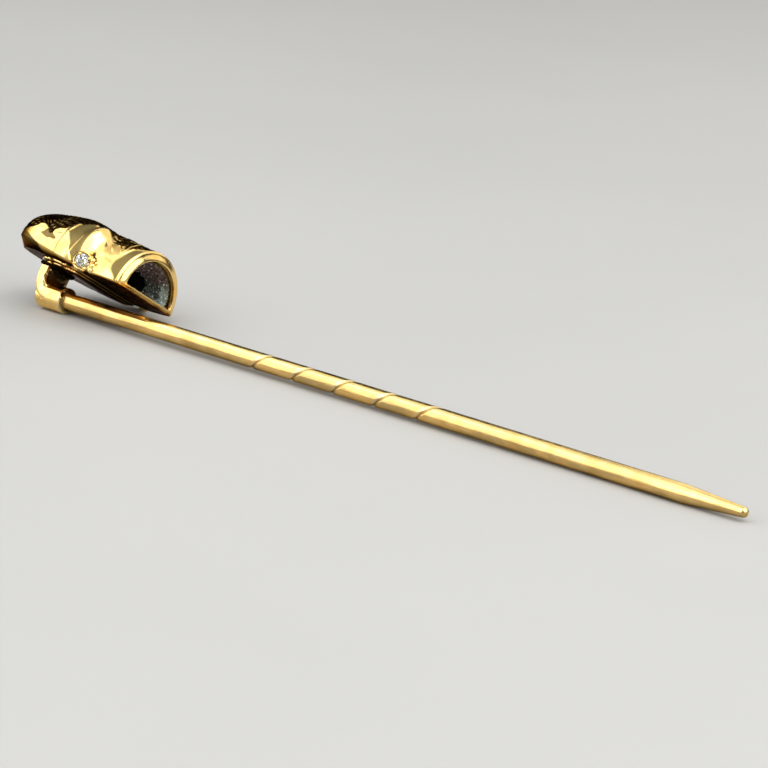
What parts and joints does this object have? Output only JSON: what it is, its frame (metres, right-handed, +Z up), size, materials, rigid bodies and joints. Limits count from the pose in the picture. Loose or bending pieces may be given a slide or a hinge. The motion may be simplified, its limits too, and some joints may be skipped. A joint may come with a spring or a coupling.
{
  "type": "stick pin",
  "caption": "Gold stick pin: a hollow chased head, open at its lower end, with a cut stone on each side and a neck strip, on a straight round shaft with a spiral groove and a blunt tapered tip.",
  "frame": {"origin": "middle of the box round the pin, on the surface that it lies on", "axes": "+X along the shaft towards the tip, within half a degree; +Y level, towards the far edge of the head that the pin lies on; +Z up"},
  "size_m": [0.0672, 0.0092, 0.0071],
  "materials": {
    "head_gold": "polished",
    "shaft_gold": "polished",
    "stone": "polished"
  },
  "bodies": {
    "root": {"head": "head_gold", "shaft": "shaft_gold", "near_stone": "stone", "far_stone": "stone"}
  },
  "joints": []
}
